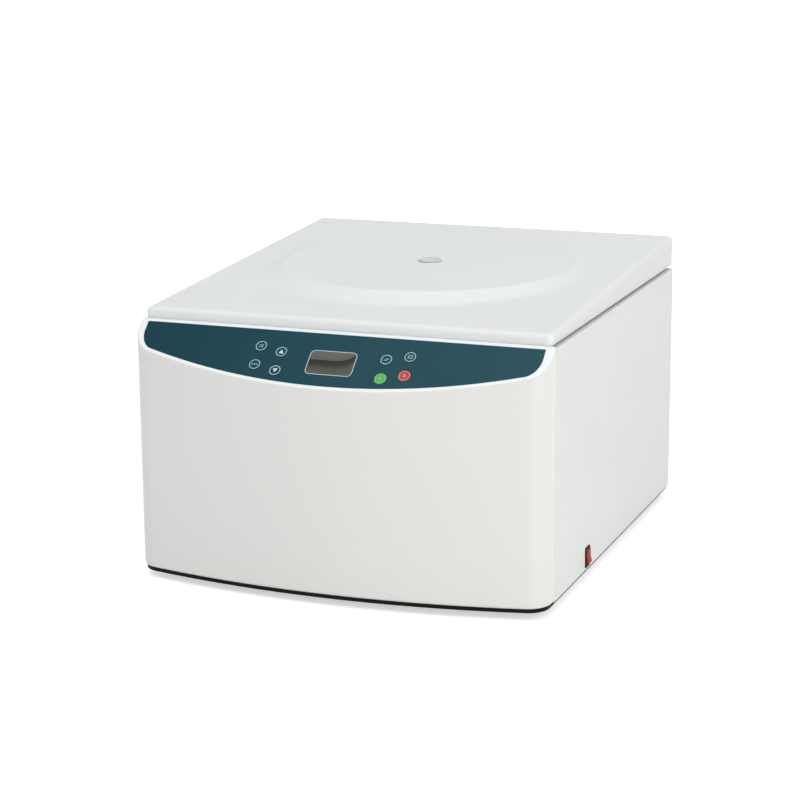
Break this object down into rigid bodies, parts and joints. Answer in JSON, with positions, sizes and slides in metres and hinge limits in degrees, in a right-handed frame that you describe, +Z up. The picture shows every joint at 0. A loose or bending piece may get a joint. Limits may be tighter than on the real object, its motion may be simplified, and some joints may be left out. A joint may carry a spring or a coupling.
{
  "type": "microplate centrifuge",
  "caption": "Benchtop microplate centrifuge: a bowed white fascia with a sloped teal keypad, a wedge lid hinged at the back, and a swing-out rotor for plates in a steel bowl.",
  "frame": {"origin": "middle of the whole object's box, on the plane under the feet", "axes": "+Z up, +Y to the back where the lid is hinged, +X to the user's right where the mains switch is"},
  "size_m": [0.4335, 0.507, 0.2948],
  "materials": {
    "white_steel": "satin",
    "white_moulding": "satin",
    "black_moulding": "matte",
    "rubber": "matte",
    "teal_film": "satin",
    "green_key": "satin",
    "red_key": "satin",
    "window": "gloss",
    "display": "gloss",
    "circuit": "satin",
    "zinc_steel": "satin",
    "stainless": "brushed",
    "anodised": "satin",
    "liner": "satin",
    "motor_grey": "satin",
    "frame_grey": "satin",
    "winding": "satin",
    "coil": "satin",
    "sight_pane": "gloss",
    "red_rocker": "gloss",
    "laminations": "satin"
  },
  "bodies": {
    "housing": {"base_tray": "black_moulding", "rubber_feet": "rubber", "left_side_panel": "white_steel", "right_side_panel": "white_steel", "rear_panel": "white_steel", "rear_screws": "zinc_steel", "front_fascia": "white_moulding", "keypad_membrane": "teal_film", "display_window": "window", "display_module": "display", "control_board": "circuit", "top_deck": "zinc_steel", "chamber_bowl": "stainless", "chamber_gasket": "rubber", "shaft_seal": "rubber", "support_frame": "frame_grey", "vibration_dampers": "rubber", "motor_housing": "motor_grey", "motor_end_bell": "anodised", "upper_bearing": "zinc_steel", "lower_bearing": "zinc_steel", "drive_board": "circuit", "mains_transformer": "winding", "mains_inlet": "black_moulding", "inlet_pins": "zinc_steel", "fuse_drawer": "black_moulding", "switch_frame": "black_moulding", "latch_bracket": "zinc_steel", "latch_pin": "zinc_steel", "latch_solenoid": "coil", "hinge_cabinet_leaves": "zinc_steel", "hinge_pins": "zinc_steel"},
    "lid": {"lid_cover": "white_moulding", "lid_liner": "liner", "sight_sleeve": "liner", "sight_glass": "sight_pane", "latch_striker": "zinc_steel", "hinge_lid_leaves": "zinc_steel"},
    "rotor": {"drive_shaft": "zinc_steel", "motor_rotor": "laminations", "rotor_yoke": "anodised", "trunnion_pins": "zinc_steel", "rotor_nut": "black_moulding"},
    "bucket_right": {"bucket_right": "anodised"},
    "bucket_left": {"bucket_left": "anodised"},
    "latch_hook": {"latch_hook": "zinc_steel"},
    "solenoid_plunger": {"solenoid_plunger": "zinc_steel"},
    "switch_rocker": {"switch_rocker": "red_rocker"},
    "key_mode": {"key_mode": "teal_film"},
    "key_set": {"key_set": "teal_film"},
    "key_up": {"key_up": "teal_film"},
    "key_down": {"key_down": "teal_film"},
    "key_memory": {"key_memory": "teal_film"},
    "key_pulse": {"key_pulse": "teal_film"},
    "key_start": {"key_start": "green_key"},
    "key_stop": {"key_stop": "red_key"}
  },
  "joints": [
    {"name": "lid_hinge", "type": "hinge", "parent": "housing", "child": "lid", "pos_m": [0, 0.2473, 0.256], "axis": [-1, 0, 0], "range_deg": [0, 80]},
    {"name": "rotor_spin", "type": "hinge", "parent": "housing", "child": "rotor", "pos_m": [0, 0.0455, 0.2], "axis": [0, 0, 1], "continuous": true},
    {"name": "bucket_right_swing", "type": "hinge", "parent": "rotor", "child": "bucket_right", "pos_m": [0.085, 0.0455, 0.196], "axis": [0, -1, 0], "range_deg": [-10, 90]},
    {"name": "bucket_left_swing", "type": "hinge", "parent": "rotor", "child": "bucket_left", "pos_m": [-0.085, 0.0455, 0.196], "axis": [0, 1, 0], "range_deg": [-10, 90]},
    {"name": "latch_turn", "type": "hinge", "parent": "housing", "child": "latch_hook", "pos_m": [0, -0.1505, 0.221], "axis": [-1, 0, 0], "range_deg": [0, 22], "stiffness_Nm_per_rad": 0.3, "springref_deg": -17.19},
    {"name": "solenoid_slide", "type": "slide", "parent": "housing", "child": "solenoid_plunger", "axis": [0, -1, 0], "range_m": [0, 0.0062]},
    {"name": "power_rocker", "type": "hinge", "parent": "housing", "child": "switch_rocker", "pos_m": [0.2125, -0.0885, 0.0249], "axis": [0, 1, 0], "range_deg": [0, 12]},
    {"name": "key_mode_press", "type": "slide", "parent": "housing", "child": "key_mode", "axis": [0, 0.6607, -0.7507], "range_m": [0, 0.0004], "stiffness_N_per_m": 1500},
    {"name": "key_set_press", "type": "slide", "parent": "housing", "child": "key_set", "axis": [0, 0.6607, -0.7507], "range_m": [0, 0.0004], "stiffness_N_per_m": 1500},
    {"name": "key_up_press", "type": "slide", "parent": "housing", "child": "key_up", "axis": [0, 0.6607, -0.7507], "range_m": [0, 0.0004], "stiffness_N_per_m": 1500},
    {"name": "key_down_press", "type": "slide", "parent": "housing", "child": "key_down", "axis": [0, 0.6607, -0.7507], "range_m": [0, 0.0004], "stiffness_N_per_m": 1500},
    {"name": "key_memory_press", "type": "slide", "parent": "housing", "child": "key_memory", "axis": [0, 0.6607, -0.7507], "range_m": [0, 0.0004], "stiffness_N_per_m": 1500},
    {"name": "key_pulse_press", "type": "slide", "parent": "housing", "child": "key_pulse", "axis": [0, 0.6607, -0.7507], "range_m": [0, 0.0004], "stiffness_N_per_m": 1500},
    {"name": "key_start_press", "type": "slide", "parent": "housing", "child": "key_start", "axis": [0, 0.6607, -0.7507], "range_m": [0, 0.0004], "stiffness_N_per_m": 1500},
    {"name": "key_stop_press", "type": "slide", "parent": "housing", "child": "key_stop", "axis": [0, 0.6607, -0.7507], "range_m": [0, 0.0004], "stiffness_N_per_m": 1500}
  ],
  "couplings": [
    {"joint": "solenoid_slide", "follows": "latch_turn", "m_per_rad": 0.016}
  ]
}
